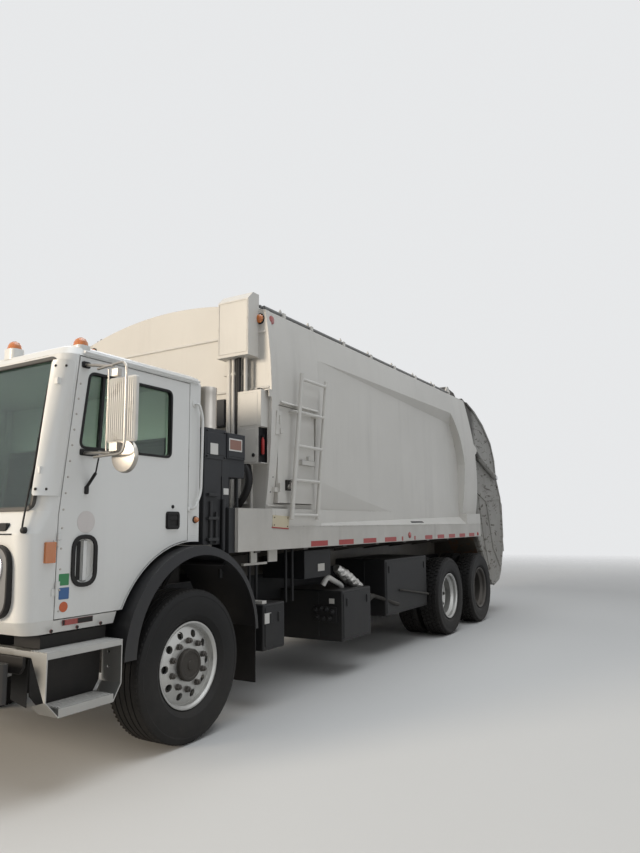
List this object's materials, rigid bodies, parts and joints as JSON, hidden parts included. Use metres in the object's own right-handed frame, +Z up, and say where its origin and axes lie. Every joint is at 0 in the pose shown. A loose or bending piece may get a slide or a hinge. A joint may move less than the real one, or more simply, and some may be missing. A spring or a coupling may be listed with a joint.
{
  "type": "rear loading garbage truck",
  "caption": "Three axle rear loading garbage truck with a low forward tilting cab, a curved steel body and a lifting tailgate that holds the packer.",
  "frame": {"origin": "centre of the vehicle's length and width, on the ground", "axes": "+Z up, +Y towards the tailgate, +X towards the driver's side, which is the vehicle's left"},
  "size_m": [3.29, 9.9, 3.62],
  "materials": {
    "white_paint": "satin, dusty",
    "tailgate_paint": "worn, dirty",
    "black_paint": "satin",
    "dark_bumper": "satin",
    "cast_iron": "rough",
    "polished_aluminium": "brushed",
    "bare_steel": "worn",
    "tyre": "matt",
    "glass": "clear",
    "lamp_bezel": "matt",
    "grey_plastic": "matt",
    "seat_fabric": "woven"
  },
  "bodies": {
    "chassis": {"frame": "black_paint", "rear_tow_eye": "black_paint", "front_bumper": "dark_bumper", "engine": "cast_iron", "front_axle": "black_paint", "drive_axles": "black_paint", "front_fenders": "black_paint", "cab_steps": "polished_aluminium", "exhaust_stack": "black_paint", "side_boxes": "black_paint", "body_floor": "white_paint", "body_side_left": "white_paint", "body_side_right": "white_paint", "body_roof": "white_paint", "body_front_wall": "white_paint", "hose_cover": "white_paint", "control_cabinet": "white_paint"},
    "cab": {"cab_floor": "white_paint", "cab_front": "white_paint", "cab_back": "white_paint", "cab_roof": "white_paint", "cab_glass": "glass", "headlamps": "lamp_bezel", "dashboard": "grey_plastic", "seats": "seat_fabric", "steering_wheel": "grey_plastic"},
    "tailgate": {"tailgate_side_left": "tailgate_paint", "tailgate_side_right": "tailgate_paint", "hopper_floor": "bare_steel", "tailgate_hood": "tailgate_paint"},
    "packer_carriage": {"packer_carriage": "tailgate_paint"},
    "packer_blade": {"packer_blade": "bare_steel"},
    "sweep_barrels": {"sweep_barrels": "tailgate_paint"},
    "sweep_rods": {"sweep_rods": "bare_steel"},
    "lift_barrels": {"lift_barrels": "tailgate_paint"},
    "lift_rods": {"lift_rods": "bare_steel"},
    "ejector": {"ejector_panel": "bare_steel"},
    "access_door": {"side_access_door": "white_paint"},
    "door_left": {"door_left": "white_paint", "door_glass_left": "glass", "mirror_left": "polished_aluminium"},
    "knuckle_left": {"knuckle_left": "cast_iron"},
    "front_wheel_left": {"front_wheel_left": "polished_aluminium", "front_tyre_left": "tyre"},
    "mid_wheels_left": {"mid_wheels_left": "polished_aluminium", "mid_tyres_left": "tyre"},
    "rear_wheels_left": {"rear_wheels_left": "polished_aluminium", "rear_tyres_left": "tyre"},
    "door_right": {"door_right": "white_paint", "door_glass_right": "glass", "mirror_right": "polished_aluminium"},
    "knuckle_right": {"knuckle_right": "cast_iron"},
    "front_wheel_right": {"front_wheel_right": "polished_aluminium", "front_tyre_right": "tyre"},
    "mid_wheels_right": {"mid_wheels_right": "polished_aluminium", "mid_tyres_right": "tyre"},
    "rear_wheels_right": {"rear_wheels_right": "polished_aluminium", "rear_tyres_right": "tyre"}
  },
  "joints": [
    {"name": "cab_tilt", "type": "hinge", "parent": "chassis", "child": "cab", "pos_m": [0, -4.73, 0.87], "axis": [1, 0, 0], "range_deg": [0, 45]},
    {"name": "door_left", "type": "hinge", "parent": "cab", "child": "door_left", "pos_m": [1.162, -4.633, 1.78], "axis": [0, 0, -1], "range_deg": [0, 70]},
    {"name": "door_right", "type": "hinge", "parent": "cab", "child": "door_right", "pos_m": [-1.162, -4.633, 1.78], "axis": [0, 0, 1], "range_deg": [0, 70]},
    {"name": "tailgate_lift", "type": "hinge", "parent": "chassis", "child": "tailgate", "pos_m": [0, 2.52, 3.565], "axis": [1, 0, 0], "range_deg": [0, 50]},
    {"name": "packer_carriage", "type": "slide", "parent": "tailgate", "child": "packer_carriage", "axis": [0, 0.6717, -0.7408], "range_m": [0, 0.65]},
    {"name": "packer_blade", "type": "hinge", "parent": "packer_carriage", "child": "packer_blade", "pos_m": [0, 3.79511, 1.84073], "axis": [1, 0, 0], "range_deg": [0, 105]},
    {"name": "sweep_barrels", "type": "hinge", "parent": "packer_carriage", "child": "sweep_barrels", "pos_m": [0, 3.53007, 2.35634], "axis": [1, 0, 0], "range_deg": [-2, 2]},
    {"name": "sweep_rods", "type": "slide", "parent": "sweep_barrels", "child": "sweep_rods", "axis": [0, 0.6214, -0.7835], "range_m": [-0.3, 0]},
    {"name": "lift_barrels", "type": "hinge", "parent": "chassis", "child": "lift_barrels", "pos_m": [0, 3.21, 2.66505], "axis": [1, 0, 0], "range_deg": [0, 64]},
    {"name": "lift_rods", "type": "slide", "parent": "lift_barrels", "child": "lift_rods", "axis": [0, 0.9523, -0.3053], "range_m": [0, 0.9]},
    {"name": "ejector", "type": "slide", "parent": "chassis", "child": "ejector", "axis": [0, 1, 0], "range_m": [0, 5.05]},
    {"name": "access_door", "type": "hinge", "parent": "chassis", "child": "access_door", "pos_m": [1.234, -2.417, 2.14], "axis": [0, 0, -1], "range_deg": [0, 90]},
    {"name": "steer_left", "type": "hinge", "parent": "chassis", "child": "knuckle_left", "pos_m": [0.9, -3.48, 0.53], "axis": [0, 0, 1], "range_deg": [-35, 35]},
    {"name": "front_wheel_left", "type": "hinge", "parent": "knuckle_left", "child": "front_wheel_left", "pos_m": [1.05, -3.48, 0.53], "axis": [1, 0, 0], "continuous": true},
    {"name": "mid_wheels_left", "type": "hinge", "parent": "chassis", "child": "mid_wheels_left", "pos_m": [0.91, 1.82, 0.52], "axis": [1, 0, 0], "continuous": true},
    {"name": "rear_wheels_left", "type": "hinge", "parent": "chassis", "child": "rear_wheels_left", "pos_m": [0.91, 3.18, 0.52], "axis": [1, 0, 0], "continuous": true},
    {"name": "steer_right", "type": "hinge", "parent": "chassis", "child": "knuckle_right", "pos_m": [-0.9, -3.48, 0.53], "axis": [0, 0, 1], "range_deg": [-35, 35]},
    {"name": "front_wheel_right", "type": "hinge", "parent": "knuckle_right", "child": "front_wheel_right", "pos_m": [-1.05, -3.48, 0.53], "axis": [1, 0, 0], "continuous": true},
    {"name": "mid_wheels_right", "type": "hinge", "parent": "chassis", "child": "mid_wheels_right", "pos_m": [-0.91, 1.82, 0.52], "axis": [1, 0, 0], "continuous": true},
    {"name": "rear_wheels_right", "type": "hinge", "parent": "chassis", "child": "rear_wheels_right", "pos_m": [-0.91, 3.18, 0.52], "axis": [1, 0, 0], "continuous": true}
  ],
  "couplings": [
    {"joint": "sweep_barrels", "follows": "packer_blade", "ratio": -0.008229},
    {"joint": "sweep_rods", "follows": "packer_blade", "m_per_rad": -0.15578},
    {"joint": "lift_barrels", "follows": "tailgate_lift", "ratio": 1.2643},
    {"joint": "lift_rods", "follows": "tailgate_lift", "m_per_rad": 1.0129},
    {"joint": "steer_right", "follows": "steer_left", "ratio": 1}
  ]
}
